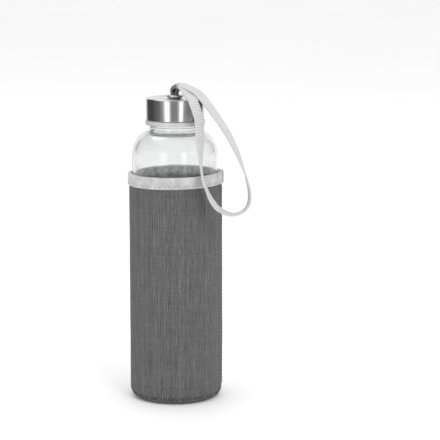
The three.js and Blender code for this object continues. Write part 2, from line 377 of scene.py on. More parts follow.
class Surface(Nodes):
    """The nodes of a new material."""

    SOCKETS = {
        "colour": "Base Color", "roughness": "Roughness", "metallic": "Metallic",
        "normal": "Normal", "sheen": "Sheen Weight", "sheen_roughness": "Sheen Roughness",
        "ior": "IOR", "transmission": "Transmission Weight", "anisotropic": "Anisotropic",
        "anisotropic_rotation": "Anisotropic Rotation", "tangent": "Tangent",
        "specular": "Specular IOR Level", "subsurface": "Subsurface Weight",
        "subsurface_scale": "Subsurface Scale",
    }

    def __init__(self, name):
        self.material = bpy.data.materials.new(name)
        self.material.use_nodes = True
        super().__init__(self.material.node_tree)
        self.shader = self.tree.nodes["Principled BSDF"]

    def finish(self, **sockets):
        for key, value in sockets.items():
            self.set(self.shader.inputs[self.SOCKETS[key]], value)
        return self.material


def woven(nodes, u, v, warps, wefts):
    """Height of a plain weave with so many warps round and wefts to a metre."""
    across, along = nodes.times(u, warps), nodes.times(v, wefts)
    cells = nodes.plus(nodes.math("FLOOR", across), nodes.math("FLOOR", along))
    over = nodes.math("ABSOLUTE", nodes.math("MODULO", cells, 2.0))
    top = nodes.times(nodes.ridges(across), over)
    under = nodes.times(nodes.ridges(along), nodes.minus(1.0, over))
    return nodes.plus(top, under)


# ---- Materials ----


def shade_hem(nodes, u, v, colour):
    """Painted shade in uneven dimples where the wall is drawn in towards the base."""
    hem_row = 8.2 * MM
    away = nodes.math("ABSOLUTE", nodes.minus(v, hem_row))
    band = nodes.map_range(away, 0.6 * MM, 2.4 * MM, 0.9, 0.0)
    place = nodes.vector(nodes.times(u, 190.0), nodes.times(v, 420.0))
    # Painted shade: patches of the hem row go nearly black where the wall is gathered.
    dimple_shade = nodes.map_range(nodes.noise(place, 1.0, 2.0), 0.47, 0.56)
    return nodes.mix(nodes.times(band, dimple_shade), colour, 0.03)


def melange_fabric(name="melange_fabric", flat=False):
    """Dark grey fabric whose upright yarns each have their own tone. flat is for the base panel."""
    nodes = Surface(name)
    yarns, picks = 420, 1500.0
    if flat:
        split = nodes.add("ShaderNodeSeparateXYZ", {0: nodes.object_place()})
        u = nodes.math("DIVIDE", split.outputs[0], TAU * SLEEVE_R)
        v = split.outputs[1]
    else:
        u, v = nodes.uv()
    yarn = nodes.math("FLOOR", nodes.times(u, yarns))
    pick = nodes.math("FLOOR", nodes.times(v, picks))
    slub = nodes.noise(nodes.vector(nodes.times(yarn, 7.3), nodes.times(v, 70.0)), 1.0, 2.0)
    own = nodes.random(nodes.vector(yarn))
    weft = nodes.random(nodes.vector(pick, 3.0))
    short = nodes.noise(nodes.vector(nodes.times(yarn, 3.1), nodes.times(v, 600.0)), 1.0, 1.0)
    tone = nodes.blend((slub, 0.5), (own, 0.12), (weft, 0.04), (short, 0.34))
    colour = nodes.ramp(tone, [(0.29, 0.071), (0.5, 0.125), (0.71, 0.204)])
    if not flat:
        colour = shade_hem(nodes, u, v, colour)
    normal = nodes.bump(woven(nodes, u, v, yarns, picks), 0.25 * MM, 0.7)
    return nodes.finish(
        colour=colour, roughness=0.92, normal=normal, sheen=0.08, sheen_roughness=0.5, specular=0.2,
    )


def lining_fabric():
    nodes = Surface("lining_fabric")
    u, v = nodes.uv()
    mottle = nodes.noise(nodes.object_place(), 90.0, 4.0)
    colour = nodes.ramp(mottle, [(0.3, 0.15), (0.7, 0.24)])
    normal = nodes.bump(woven(nodes, u, v, 360, 1100.0), 0.2 * MM, 0.6)
    return nodes.finish(
        colour=colour, roughness=0.88, normal=normal, sheen=0.2, sheen_roughness=0.5, specular=0.25,
    )


def shade_folded_tape(nodes, u, v, colour):
    """Paints shade into the needle holes, and gives the inside of the fold a blotchy grey of its
    own as painted shading for its dim place behind the glass.
    """
    stitch_row, shaded_fold_start, shaded_fold_end = 2 * MM, 10.6 * MM, 11.8 * MM
    across = nodes.minus(nodes.math("FRACT", nodes.times(u, STITCHES)), 0.5)
    across = nodes.minus(0.5, nodes.math("ABSOLUTE", across))
    across = nodes.times(across, TAU * BINDING_R / STITCHES)
    along = nodes.minus(v, stitch_row)
    squared = nodes.plus(nodes.times(across, across), nodes.times(along, along))
    # Painted shade: the needle holes are darkened.
    hole = nodes.map_range(nodes.math("SQRT", squared), 0.18 * MM, 0.42 * MM, 0.75, 0.0)
    # Painted shading: past the fold, the tape's inner face takes a blotchy grey of its own for the
    # shade it is in.
    inside = nodes.map_range(v, shaded_fold_start, shaded_fold_end)
    mottle = nodes.noise(nodes.object_place(), 260.0, 4.0)
    mottle = nodes.ramp(mottle, [(0.3, 0.36), (0.7, 0.8)])
    colour = nodes.mix(hole, colour, 0.12)
    return nodes.mix(inside, colour, mottle)


def binding_tape(name, folded):
    """Light tape with a fine slanting weave. If folded, u runs round and v up and over the rim."""
    nodes = Surface(name)
    place = nodes.object_place()
    if folded:
        u, v = nodes.uv()
    else:
        split = nodes.add("ShaderNodeSeparateXYZ", {0: place})
        u = nodes.math("DIVIDE", split.outputs[1], TAU * BINDING_R)
        v = split.outputs[2]
    slant = nodes.blend((u, 330.0), (v, 1500.0))
    twill = nodes.ridges(slant)
    fuzz = nodes.noise(place, 1400.0, 3.0, 0.6)
    mottle = nodes.noise(place, 160.0, 4.0)
    tone = nodes.blend((mottle, 0.5), (fuzz, 0.3), (twill, 0.2))
    colour = nodes.ramp(tone, [(0.35, 0.33), (0.52, 0.51), (0.7, 0.67)])
    if folded:
        colour = shade_folded_tape(nodes, u, v, colour)
    normal = nodes.bump(nodes.blend((twill, 0.6), (fuzz, 0.4)), 0.18 * MM, 0.6)
    return nodes.finish(
        colour=colour, roughness=0.9, normal=normal, sheen=0.3, sheen_roughness=0.45, specular=0.25,
    )


def webbing(length):
    """Light ribbed webbing, with painted shade in its grooves and on its folded ends. u runs round
    the section, v is metres along it.
    """
    nodes = Surface("webbing")
    u, v = nodes.uv()
    warp = nodes.ridges(u, 48)
    rib = nodes.math("COSINE", nodes.times(v, TAU / RIB_PITCH))
    # Painted shade: the tone drops in the valleys between the ribs.
    rib_groove_shade = nodes.times(nodes.minus(1.0, rib), 0.5)
    fuzz = nodes.noise(nodes.object_place(), 1500.0, 3.0, 0.6)
    tone = nodes.plus(nodes.blend((fuzz, 0.5), (warp, 0.2)), 0.33)
    tone = nodes.minus(tone, nodes.times(rib_groove_shade, 0.3))
    light = nodes.ramp(tone, [(0.2, 0.37), (0.55, 0.58), (0.85, 0.7)])
    # Painted shade: a darker copy of the tone for the ends folded into the eyelet, standing in for
    # the shade inside the fold.
    dark = nodes.ramp(tone, [(0.2, 0.065), (0.55, 0.14), (0.85, 0.235)])
    start = nodes.map_range(v, 13.4 * MM, 14.6 * MM, 1.0, 0.0)
    end = nodes.map_range(v, length - 17.4 * MM, length - 15.2 * MM)
    colour = nodes.mix(nodes.math("MAXIMUM", start, end), light, dark)
    normal = nodes.bump(nodes.blend((warp, 0.5), (fuzz, 0.5)), 0.15 * MM, 0.6)
    return nodes.finish(
        colour=colour, roughness=0.82, normal=normal, sheen=0.25, sheen_roughness=0.4, specular=0.3,
    )


def sewing_thread(name, dark, light):
    nodes = Surface(name)
    fuzz = nodes.noise(nodes.object_place(), 2200.0, 2.0)
    colour = nodes.ramp(fuzz, [(0.3, dark), (0.7, light)])
    normal = nodes.bump(fuzz, 0.1 * MM, 0.6)
    return nodes.finish(colour=colour, roughness=0.7, normal=normal, specular=0.35)


def clear_glass():
    """Clear glass that lets soft light and lamps through to the fabric behind it."""
    nodes = Surface("clear_glass")
    ripple = nodes.noise(nodes.object_place(), 26.0, 1.0)
    normal = nodes.bump(ripple, 0.6 * MM, 0.25)
    nodes.finish(
        colour=(0.935, 0.94, 0.938, 1), roughness=0.0, transmission=1.0, ior=1.5, normal=normal,
    )
    ray = nodes.add("ShaderNodeLightPath")
    soft = nodes.math("MAXIMUM", ray.outputs["Is Shadow Ray"], ray.outputs["Is Diffuse Ray"])
    through = nodes.add("ShaderNodeBsdfTransparent", {0: (0.97, 0.975, 0.972, 1)})
    mix = nodes.add("ShaderNodeMixShader", {
        0: soft, 1: nodes.shader.outputs[0], 2: through.outputs[0],
    })
    nodes.set(nodes.tree.nodes["Material Output"].inputs[0], mix.outputs[0])
    return nodes.material


def brushed_steel(name, lines, roughness=0.22, tone=0.72):
    """Steel brushed round its axis. u runs round, v is metres along the profile."""
    nodes = Surface(name)
    u, v = nodes.uv()
    strokes = nodes.vector(nodes.times(u, 9.0), nodes.times(v, lines))
    scratches = nodes.noise(strokes, 1.0, 3.0, 0.65)
    patches = nodes.vector(nodes.times(u, 60.0), nodes.times(v, 40.0))
    smear = nodes.noise(patches, 1.0, 3.0)
    colour = nodes.ramp(scratches, [(0.3, tone * 0.9), (0.7, tone * 1.08)])
    shine = nodes.plus(nodes.blend((scratches, 0.1), (smear, 0.06)), roughness - 0.08)
    normal = nodes.bump(scratches, 0.02 * MM, 0.35)
    tangent = nodes.add("ShaderNodeTangent", direction_type="RADIAL", axis="Z").outputs[0]
    return nodes.finish(
        colour=colour, metallic=1.0, roughness=shine, anisotropic=0.6, anisotropic_rotation=0.25,
        tangent=tangent, normal=normal,
    )


def satin_plastic():
    nodes = Surface("satin_plastic")
    place = nodes.object_place()
    grain = nodes.noise(place, 900.0, 3.0)
    cloud = nodes.noise(place, 60.0, 2.0)
    colour = nodes.ramp(cloud, [(0.3, 0.5), (0.7, 0.58)])
    shine = nodes.plus(nodes.times(grain, 0.1), 0.14)
    normal = nodes.bump(grain, 0.03 * MM, 0.25)
    return nodes.finish(colour=colour, roughness=shine, normal=normal, specular=0.9)


def grained(name, scale, detail, tones, shine, bump, **sockets):
    """A finish whose tone, roughness and bump follow one fine grain."""
    nodes = Surface(name)
    grain = nodes.noise(nodes.object_place(), scale, detail)
    share, least = shine
    return nodes.finish(
        colour=nodes.ramp(grain, [(0.3, tones[0]), (0.7, tones[1])]),
        roughness=nodes.plus(nodes.times(grain, share), least),
        normal=nodes.bump(grain, *bump), **sockets,
    )


FABRIC = melange_fabric()
FLAT_FABRIC = melange_fabric("flat_fabric", flat=True)
LINING = lining_fabric()
TAPE = binding_tape("binding_tape", folded=True)
TAPE_PLAIN = binding_tape("lap_tape", folded=False)
THREAD = sewing_thread("light_thread", 0.5, 0.72)
GREY_THREAD = sewing_thread("grey_thread", 0.08, 0.16)
GLASS = clear_glass()
CAP_STEEL = brushed_steel("cap_steel", 9000.0)
EYELET_STEEL = brushed_steel("eyelet_steel", 6000.0, roughness=0.42, tone=0.8)
HIDDEN_STEEL = grained(
    "plain_steel", 1200.0, 3.0, (0.5, 0.62), (0.15, 0.28), (0.02 * MM, 0.4), metallic=1.0,
)
PLASTIC = satin_plastic()
SILICONE = grained(
    "silicone", 700.0, 2.0, (0.68, 0.78), (0.15, 0.42), (0.03 * MM, 0.4),
    subsurface=0.2, subsurface_scale=0.002,
)


# ---- Carry loop ----


def catmull_rom(route, steps):
    """Points and width directions along a smooth curve through the route."""
    knots = np.array(route, float)
    ends = np.vstack([2 * knots[0] - knots[1], knots, 2 * knots[-1] - knots[-2]])
    out = []
    for i in range(len(knots) - 1):
        p0, p1, p2, p3 = ends[i:i + 4]
        for t in np.linspace(0, 1, steps, endpoint=False):
            out.append(0.5 * (
                2 * p1 + (p2 - p0) * t + (2 * p0 - 5 * p1 + 4 * p2 - p3) * t * t
                + (3 * p1 - p0 - 3 * p2 + p3) * t ** 3
            ))
    out.append(knots[-1])
    return np.array(out)


def even_route(route, step):
    """The smooth curve again, with points an even step apart."""
    curve = catmull_rom(route, 40)
    steps = np.linalg.norm(np.diff(curve[:, :3], axis=0), axis=1)
    lengths = np.concatenate([[0], np.cumsum(steps)])
    count = int(round(lengths[-1] / step))
    places = np.linspace(0, lengths[-1], count + 1)
    columns = [np.interp(places, lengths, curve[:, k]) for k in range(4)]
    return np.stack(columns, axis=1), places


def fade(x, start, end):
    t = min(1.0, max(0.0, (x - start) / (end - start)))
    return t * t * (3 - 2 * t)


def hump(x, *places):
    """Rises from 0 to 1 between the first two places and falls between the other two."""
    up, full, down, gone = (place * MM for place in places)
    return fade(x, up, full) * (1 - fade(x, down, gone))


def strap_outline(width, thick, curl):
    """Section of the webbing: across, face. curl bends it lengthwise into a gutter, per metre."""
    steps = 10
    middle = []
    half, edge = width / 2, thick / 2
    for i in range(steps + 1):
        s = -half + edge + (width - 2 * edge) * i / steps
        if abs(curl) * half > 0.01:
            middle.append((math.sin(curl * s) / curl, (1 - math.cos(curl * s)) / curl, curl * s))
        else:
            middle.append((s, 0.0, 0.0))
    sag = np.mean([m[1] for m in middle])
    lower, upper, caps = [], [], []
    for x, y, turn in middle:
        nx, ny = -math.sin(turn), math.cos(turn)
        lower.append((x - nx * edge, y - sag - ny * edge))
        upper.append((x + nx * edge, y - sag + ny * edge))
    for (x, y, turn), reach in ((middle[-1], 0.9 * edge), (middle[0], -0.9 * edge)):
        caps.append((x + reach * math.cos(turn), y - sag + reach * math.sin(turn)))
    return lower + [caps[0]] + upper[::-1] + [caps[1]]


# How the webbing's middle moves off its route, so that its two runs part and its folds fill the
# eyelet: the end it is measured from, the axis, how far, and the hump's places in millimetres.
STRAP_SHIFTS = [
    ("far", 2, 0.45 * MM, (12, 20, 40, 54)), ("near", 2, -0.4 * MM, (14, 20, 34, 46)),
    ("far", 0, -0.5 * MM, (6, 9, 13, 19)), ("near", 0, 0.5 * MM, (5, 8, 11, 16)),
]


def make_strap():
    step = RIB_PITCH / 6
    route, places = even_route(STRAP_ROUTE, step * 1000)
    centres = route[:, :3] * MM
    total = places[-1] * MM
    for centre, place in zip(centres, places):
        away = {"near": place * MM, "far": total - place * MM}
        for end, axis, shift, span in STRAP_SHIFTS:
            centre[axis] += shift * hump(away[end], *span)
    tangents = np.gradient(centres, axis=0)
    tangents /= np.linalg.norm(tangents, axis=1)[:, None]
    sections = []
    for i, centre in enumerate(centres):
        near = i * total / (len(centres) - 1)
        far = total - near
        tangent = Vector(tangents[i])
        across = polar(1, math.radians(route[i][3]))
        across = (across - across.dot(tangent) * tangent).normalized()
        face = tangent.cross(across)
        fold_near = 1 - fade(near, 10 * MM, 26 * MM)
        fold_far = 1 - fade(far, 13 * MM, 32 * MM)
        in_eyelet = 1 - fade(far, 6 * MM, 10 * MM)
        rib = math.cos(TAU * near / RIB_PITCH)
        bulge = 0.8 * (1 - fade(near, 8 * MM, 18 * MM)) + 0.6 * hump(near, 5, 8, 8, 11)
        width = STRAP_WIDTH * (1 - 0.58 * fold_near)
        thick = STRAP_THICK * (1 + 0.13 * rib) * (1 + bulge)
        curl = -fold_far * 330 - in_eyelet * 90
        outline = strap_outline(width, thick, curl)
        sections.append([Vector(centre) + across * x + face * y for x, y in outline])
    points, faces, uvs = lofted(sections)
    uvs = [(u, v * step) for u, v in uvs]
    strap = add_mesh("carry_strap", points, faces, webbing(total), None, uvs)
    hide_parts("strap_loop", "strap_root")
    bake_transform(strap)


make_strap()


# ---- Glass bottle ----


def shoulder(wide, narrow, low, high, steps, inside=False):
    """A quarter of an ellipse from the body's wall to the neck's, or the inner face there."""
    out = []
    for t in np.linspace(0, math.pi / 2, steps + 1):
        c, s = math.cos(t), math.sin(t)
        normal = Vector((c / (wide - narrow), s / (high - low))).normalized()
        inset = GLASS_WALL + (CREASE_WALL - GLASS_WALL) * s if inside else 0.0
        r, z = narrow + (wide - narrow) * c, low + (high - low) * s
        out.append((r - inset * normal[0], z - inset * normal[1]))
    return out


def ridge_height(angle, z, start):
    """How far a screw ridge stands out, from 0 to 1, at a place on its wall."""
    best = 0.0
    for lap in range(-1, 3):
        share = (angle / TAU + lap) / THREAD_TURNS
        if not 0 <= share <= 1:
            continue
        centre = start + share * THREAD_TURNS * THREAD_PITCH
        away = abs(z - centre)
        height = 1 - fade(away, 0.4 * MM, 1.05 * MM)
        ends = fade(share, 0, 0.07) * fade(1 - share, 0, 0.07)
        best = max(best, height * ends)
    return best


def bead(low, high, proud):
    """A soft raised ring round the neck."""
    shares = np.linspace(0, 1, 13)
    return [(NECK_R + proud * math.sin(math.pi * s) ** 2, low + (high - low) * s) for s in shares]


def make_glass():
    inner = GLASS_R - GLASS_WALL
    foot = GLASS_R - 6 * MM
    floor_top = GLASS_LOW + 5 * MM
    crease = SHOULDER_END - 0.2 * MM
    body_shoulder = (GLASS_R, NECK_R + 0.3 * MM, SHOULDER_START, crease, 26)
    outside = [
        (0, GLASS_LOW + 1.7 * MM), (foot - 9 * MM, GLASS_LOW + 1.4 * MM),
        (foot - 5 * MM, GLASS_LOW + 0.9 * MM), (foot - 3 * MM, GLASS_LOW + 0.2 * MM),
        (foot - 1.8 * MM, GLASS_LOW),
        *arc(foot, GLASS_LOW + 6 * MM, 6 * MM, -90, 0, 10),
        *shoulder(*body_shoulder),
        (NECK_R - 0.1 * MM, SHOULDER_END - 0.1 * MM), (NECK_R - 0.4 * MM, SHOULDER_END + 0.1 * MM),
        *bead(SHOULDER_END + 0.4 * MM, SHOULDER_END + 3 * MM, 0.4 * MM),
        *bead(SHOULDER_END + 3.1 * MM, FINISH_LOW - 1 * MM, 0.2 * MM),
        (NECK_R - 0.1 * MM, FINISH_LOW - 0.8 * MM), (FINISH_R + 0.1 * MM, FINISH_LOW - 0.1 * MM),
    ]
    first = len(outside)
    outside += [(FINISH_R, z) for z in np.linspace(FINISH_LOW, MOUTH_TOP - 1 * MM, 44)]
    last = len(outside)
    outside += arc(FINISH_R - 0.8 * MM, MOUTH_TOP - 0.8 * MM, 0.8 * MM, 10, 90, 5)
    outside += arc(NECK_BORE + 0.6 * MM, MOUTH_TOP - 0.6 * MM, 0.6 * MM, 90, 180, 5)
    inside = [
        *arc(NECK_BORE + CREASE_WALL, crease, CREASE_WALL, 180, 270, 8),
        *shoulder(*body_shoulder, inside=True)[::-1],
        *arc(inner - 4 * MM, floor_top + 4 * MM, 4 * MM, 0, -90, 8),
        (inner - 14 * MM, floor_top + 0.6 * MM), (0, floor_top + 1.2 * MM),
    ]

    def shape(angle, r, z, row):
        if first <= row < last:
            r += THREAD_DEPTH * ridge_height(angle, z, THREAD_START)
        return r, z

    glass = turned("glass", outside + inside, GLASS, "bottle", 160, shape=shape)
    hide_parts("glass_bottle", "glass_neck", "neck_thread")


make_glass()


# ---- Cap ----


def make_cap_shell():
    sheet = 0.5 * MM
    edge = 0.75 * MM
    hole = EYELET_TUBE + 0.3 * MM
    profile = [
        (CAP_R - 0.35 * MM, CAP_LOW), (CAP_R - 0.1 * MM, CAP_LOW + 0.12 * MM),
        (CAP_R, CAP_LOW + 0.4 * MM), (CAP_R, CAP_TOP - edge - 3 * MM),
        *arc(CAP_R - edge, CAP_TOP - edge, edge, 0, 90, 10),
        (CAP_R - 3 * MM, CAP_TOP - 0.02 * MM), (10 * MM, CAP_TOP - 0.05 * MM),
        (6.6 * MM, CAP_TOP - 0.05 * MM), (hole + 0.3 * MM, CAP_TOP - 0.12 * MM),
        (hole, CAP_TOP - 0.3 * MM), (hole, CAP_TOP - sheet),
        *arc(CAP_R - edge, CAP_TOP - edge, edge - sheet, 90, 0, 6),
        (CAP_R - sheet, CAP_LOW),
    ]
    shell = turned("steel_cap", profile, CAP_STEEL, "cap", 160)
    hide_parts("cap_shell")


def make_cap_lip():
    inner = LINER_R + 0.3 * MM
    profile = [
        (inner, LIP_LOW + 0.3 * MM), (inner + 0.3 * MM, LIP_LOW),
        *arc(LIP_R - 0.4 * MM, LIP_LOW + 0.4 * MM, 0.4 * MM, -90, 0, 8),
        *arc(LIP_R - 0.7 * MM, LIP_TOP - 0.7 * MM, 0.7 * MM, 0, 90, 8),
        (CAP_R - 0.2 * MM, LIP_TOP + 0.1 * MM), (inner, LIP_TOP + 0.1 * MM),
    ]
    lip = turned("cap_lip", profile, PLASTIC, "cap", 160)
    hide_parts("cap_lip_ring")


def make_cap_inner():
    """The threaded plastic cup inside the steel."""
    ceiling = LINER_TOP - 1.2 * MM
    round_edge = 0.6 * MM
    rows = np.linspace(ceiling - round_edge, LINER_LOW + 0.4 * MM, 44)
    profile = [(0, ceiling)]
    profile += arc(LINER_BORE - round_edge, ceiling - round_edge, round_edge, 90, 20, 4)
    first = len(profile)
    profile += [(LINER_BORE, z) for z in rows]
    last = len(profile)
    profile += [
        (LINER_BORE + 0.3 * MM, LINER_LOW), (LINER_R - 0.1 * MM, LINER_LOW),
        (LINER_R, LINER_LOW + 0.2 * MM), (LINER_R, LINER_TOP - round_edge),
        (LINER_R - round_edge, LINER_TOP), (0, LINER_TOP),
    ]
    start = THREAD_START - THREAD_PITCH / 2

    def shape(angle, r, z, row):
        if first <= row < last:
            r -= THREAD_DEPTH * ridge_height(angle, z, start)
        return r, z

    inner = turned("cap_inner", profile, PLASTIC, "cap", 160, shape=shape)
    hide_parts("cap_liner", "liner_thread")


def make_gasket():
    low, high = bottom_of("cap_gasket"), top_of("cap_gasket")
    edge = 0.35 * MM
    inner, outer = SEAL_BORE + edge, outer_radius("cap_gasket") - edge
    corners = [(outer, low + edge), (outer, high - edge), (inner, high - edge), (inner, low + edge)]
    profile = []
    for quarter, (r, z) in enumerate(corners):
        profile += arc(r, z, edge, 90 * quarter - 90, 90 * quarter, 4)
    gasket = turned("seal_ring", profile, SILICONE, "seal")
    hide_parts("cap_gasket")


def make_eyelet():
    """A rolled steel eyelet: a domed flange on top and a curled edge under the cap."""
    rolled = 0.8 * MM
    under = EYELET_TOP - 2 * rolled
    curl = 5.6 * MM
    mouth = EYELET_HOLE + 0.5 * MM
    profile = [
        (EYELET_HOLE, EYELET_LOW + 0.2 * MM), (EYELET_HOLE + 0.2 * MM, EYELET_LOW),
        *arc(curl - 0.4 * MM, EYELET_LOW + 0.4 * MM, 0.4 * MM, -90, 90, 8),
        (EYELET_TUBE, EYELET_LOW + rolled), (EYELET_TUBE, under),
        *arc(EYELET_R - rolled, under + rolled, rolled, -90, 90, 12),
        *arc(mouth, EYELET_TOP - 0.5 * MM, 0.5 * MM, 90, 180, 6),
    ]
    eyelet = turned("eyelet_ring", profile, EYELET_STEEL, "eyelet", 96)
    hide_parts("eyelet_rivet")
    for node in ("back_washer", "strap_crimp"):
        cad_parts[node].data.materials[0] = HIDDEN_STEEL


make_cap_shell()
make_cap_lip()
make_cap_inner()
make_gasket()
make_eyelet()


# ---- Fabric sleeve ----


def rim_tilt(r, angle):
    """The sleeve's top edge isn't quite level: it rises towards one side."""
    return RIM_SLOPE * r * math.cos(angle - math.pi / 4)


def sleeve_ripple(angle, z):
    """How far the fabric stands off its round shape."""
    broad = ring_noise(angle, 2.2, z * 22, 3.0)
    medium = ring_noise(angle, 6, z * 60, 9.0)
    return (0.25 * broad + 0.12 * medium) * MM


def hem_gathers(angle):
    """Small uneven puckers where the wall is sewn to the base."""
    return 0.75 * ring_noise(angle, 17, 0.3, 5.0) + 0.45 * ring_noise(angle, 38, 1.7, 2.0)


def make_sleeve_wall():
    centre = SLEEVE_R - SLEEVE_CORNER
    heights = np.linspace(SLEEVE_CORNER, SLEEVE_TOP - 8 * MM, 90)[1:]
    profile = arc(centre, SLEEVE_CORNER, SLEEVE_CORNER, -90, 0, 22)
    profile += [(SLEEVE_R, z) for z in heights] + [(SLEEVE_R, SLEEVE_TOP)]
    outer_rows = len(profile)
    profile += [(SLEEVE_R - SLEEVE_THICK, SLEEVE_TOP)]
    profile += arc(centre, SLEEVE_CORNER, SLEEVE_CORNER - SLEEVE_THICK, 0, -90, 12)

    def shape(angle, r, z, row):
        if row >= outer_rows:
            return r, z
        held = 1 - fade(z, BINDING_LOW - 14 * MM, BINDING_LOW)
        swell = sleeve_ripple(angle, z) * held * fade(z, 2 * MM, 12 * MM)
        near_hem = (1 - fade(z, 1.5 * MM, 9 * MM)) * fade(r, centre, centre + 3 * MM)
        gather = hem_gathers(angle) * 0.55 * MM * near_hem
        lift = max(0.0, hem_gathers(angle + 1.1)) * 0.6 * MM * (1 - fade(z, 0, 5 * MM))
        return r + swell + gather, z + lift

    wall = turned("fabric_sleeve", profile, FABRIC, "sleeve", 360, shape=shape)
    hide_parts("sleeve_wall")
    return wall


def make_sleeve_base():
    radius = outer_radius("sleeve_base")
    top = top_of("sleeve_base")
    profile = [(r, 0.5 * MM) for r in np.linspace(0, radius - 1 * MM, 16)]
    flat_rows = len(profile)
    profile += arc(radius - 0.6 * MM, top / 2, 0.6 * MM, -90, 90, 6) + [(0, top)]

    def shape(angle, r, z, row):
        if row < flat_rows:
            pucker = ring_noise(angle, 17, 4.0) * fade(r, 0.5 * radius, radius)
            z += (0.18 * ring_noise(angle, r * 90, 8.0) - 0.35 * abs(pucker)) * MM
            z -= 0.3 * MM * fade(r, 0.8 * radius, radius)
        return r, max(z, 0)

    base = turned("sleeve_floor", profile, FLAT_FABRIC, "sleeve", 180, shape=shape)
    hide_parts("sleeve_base")
    return base


def make_sleeve_lining():
    inner = GLASS_R + 0.3 * MM
    outer = inner + 0.5 * MM
    low, high = bottom_of("sleeve_lining"), top_of("sleeve_lining")
    heights = np.linspace(low, high, 60)
    profile = [(outer, z) for z in heights] + [(inner, z) for z in heights[::-1]]

    def shape(angle, r, z, row):
        return r + 0.08 * MM * ring_noise(angle, 5, z * 80), z

    lining = turned("sleeve_lining_fabric", profile, LINING, "sleeve", shape=shape)
    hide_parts("sleeve_lining")
    return lining


def make_base_seam():
    """The overlocked join inside the base."""
    low, high = bottom_of("sleeve_base_seam"), top_of("sleeve_base_seam")
    middle = outer_radius("sleeve_base_seam") - 1.2 * MM
    profile = [
        (middle + 1.1 * MM * math.cos(a), (low + high) / 2 + (high - low) / 2 * math.sin(a))
        for a in np.linspace(0, TAU, 12, endpoint=False)
    ]

    def shape(angle, r, z, row):
        return r + 0.1 * MM * math.sin(angle * 64), z

    seam = turned("base_overlock", profile, LINING, "sleeve", 384, shape=shape)
    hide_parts("sleeve_base_seam")
    return seam


def binding_outline():
    """The tape's section: up its outside, over the top, down its inside, back round the wall."""
    outside = SLEEVE_R + 0.2 * MM
    inside = GLASS_R + 0.3 * MM
    thick = 0.7 * MM
    low = BINDING_LOW
    outer = [
        (BINDING_R - 0.25 * MM, low), (BINDING_R - 0.02 * MM, low + 0.12 * MM),
        (BINDING_R + 0.08 * MM, low + 0.35 * MM), (BINDING_R + 0.08 * MM, low + 0.65 * MM),
        (BINDING_R - 0.02 * MM, low + 0.95 * MM), (BINDING_R - 0.08 * MM, low + 1.3 * MM),
        (BINDING_R - 0.16 * MM, low + 1.6 * MM), (BINDING_R - 0.18 * MM, STITCH_HEIGHT),
        (BINDING_R - 0.16 * MM, low + 2.0 * MM), (BINDING_R - 0.06 * MM, low + 2.4 * MM),
        (BINDING_R + 0.04 * MM, low + 3.0 * MM),
    ]
    outer += [(BINDING_R + 0.12 * MM, low + h * MM) for h in (3.8, 4.6, 5.4)]
    outer += [(BINDING_R + 0.06 * MM, low + 6.2 * MM), (BINDING_R, low + 6.8 * MM)]
    top = arc(BINDING_R - 1.1 * MM, BINDING_TOP - 1.1 * MM, 1.1 * MM, 10, 90, 9)
    top += arc(inside + 1.0 * MM, BINDING_TOP - 1.0 * MM, 1.0 * MM, 90, 170, 7)
    inner = [(inside, BINDING_TOP - 2.4 * MM), (inside, low + 4 * MM), (inside, low + 0.4 * MM)]
    back = [
        (inside + 0.5 * MM, low + 0.4 * MM), (inside + 0.5 * MM, BINDING_TOP - thick),
        (outside, BINDING_TOP - thick), (outside, low + 0.05 * MM),
    ]
    return outer, top, inner, back


def binding_pucker(angle, z):
    """Thin tape pulled in a little at each stitch."""
    swell = ring_noise(angle, 7, z * 180, 4.0)
    phase = angle * STITCHES
    near = math.exp(-((z - STITCH_HEIGHT) / (0.9 * MM)) ** 2)
    hole = math.exp(-((z - STITCH_HEIGHT) / (0.35 * MM)) ** 2) * max(0.0, math.cos(phase)) ** 24
    return (0.16 * swell - 0.07 * near * math.cos(phase) - 0.3 * hole) * MM


def make_binding():
    outer, top, inner, back = binding_outline()
    profile = outer + top + inner + back
    moved = len(outer) + len(top)

    def shape(angle, r, z, row):
        tilt = rim_tilt(r, angle)
        if row < moved:
            r += binding_pucker(angle, z)
        if row < 3:
            z += 0.14 * MM * ring_noise(angle, 21, 2.0, 6.0)
        if len(outer) <= row < moved:
            z += 0.12 * MM * ring_noise(angle, 9, 5.0, 1.0)
        return r, z + tilt

    tape = turned("rim_binding", profile, TAPE, "sleeve", 744, shape=shape)
    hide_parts("sleeve_binding")
    return tape


def thread_tube(route, radius, sides=6):
    """Rings of a thin tube along a route of (point, outward) pairs, tapered at both ends."""
    rings = []
    count = len(route)
    for i, (point, outward) in enumerate(route):
        before, after = route[max(0, i - 1)][0], route[min(count - 1, i + 1)][0]
        along = (after - before).normalized()
        side = along.cross(outward).normalized()
        up = side.cross(along)
        share = i / (count - 1)
        thin = radius * (0.45 + 0.55 * min(1, 6 * share, 6 * (1 - share)))
        turns = [TAU * k / sides for k in range(sides)]
        rings.append([
            point + side * (thin * math.cos(a)) + up * (thin * math.sin(a)) for a in turns
        ])
    return rings


def sewn(name, lofts, material):
    """One mesh of many threads on the sleeve."""
    points, faces = [], []
    for rings in lofts:
        more, new_faces, _ = lofted(rings)
        offset = len(points)
        points += more
        faces += [[i + offset for i in face] for face in new_faces]
    return add_mesh(name, points, faces, material, "sleeve")


def on_rim(angle, r, z):
    return polar(r, angle, z + rim_tilt(r, angle))


def make_stitches():
    """The row of stitches along the binding's lower edge."""
    lofts = []
    gap = 0.17
    for k in range(STITCHES):
        route = []
        for i in range(9):
            share = i / 8
            angle = TAU * (k + gap / 2 + (1 - gap) * share) / STITCHES
            arch = math.sin(math.pi * share) ** 0.5
            r = BINDING_R + (-0.3 + 0.33 * arch) * MM
            wander = 0.06 * MM * smooth_noise(k * 1.7, share, 0)
            route.append((on_rim(angle, r, STITCH_HEIGHT + wander), polar(1, angle)))
        lofts.append(thread_tube(route, THREAD_R))
    stitches = sewn("binding_stitches", lofts, THREAD)
    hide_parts("binding_stitch")
    return stitches


